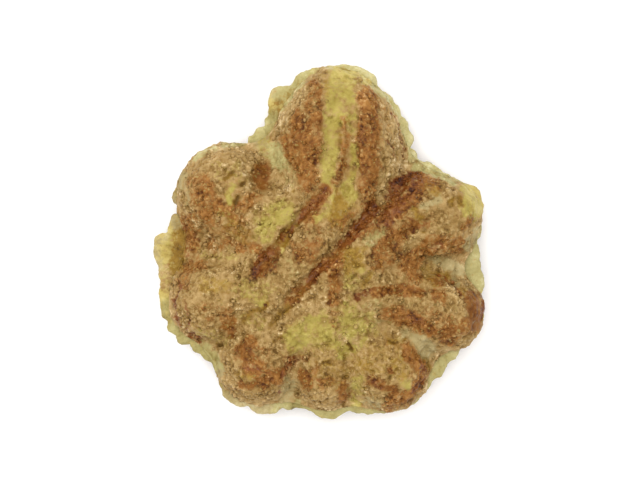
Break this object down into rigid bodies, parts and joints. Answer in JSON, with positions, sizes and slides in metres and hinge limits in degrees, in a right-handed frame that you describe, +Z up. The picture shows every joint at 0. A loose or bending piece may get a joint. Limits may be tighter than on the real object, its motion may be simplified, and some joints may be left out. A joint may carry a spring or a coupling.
{
  "type": "fried maple leaf cake",
  "caption": "Deep-fried maple-leaf cake: rounded lobes and a ribbed stem round a palm with slanting grooves, under a crackled golden coat of batter with a ragged hem",
  "frame": {"origin": "On the floor, under the middle of the cake's box", "axes": "+Z is up, out of the leaf's face, and +Y runs to the stem's end. +X is to the right, seen from above with the stem away"},
  "size_m": [0.0696, 0.0738, 0.0212],
  "materials": {
    "fried_crust": "rough, browned batter coat with an oily sheen"
  },
  "bodies": {
    "root": {"fried_maple_cake": "fried_crust"}
  },
  "joints": []
}
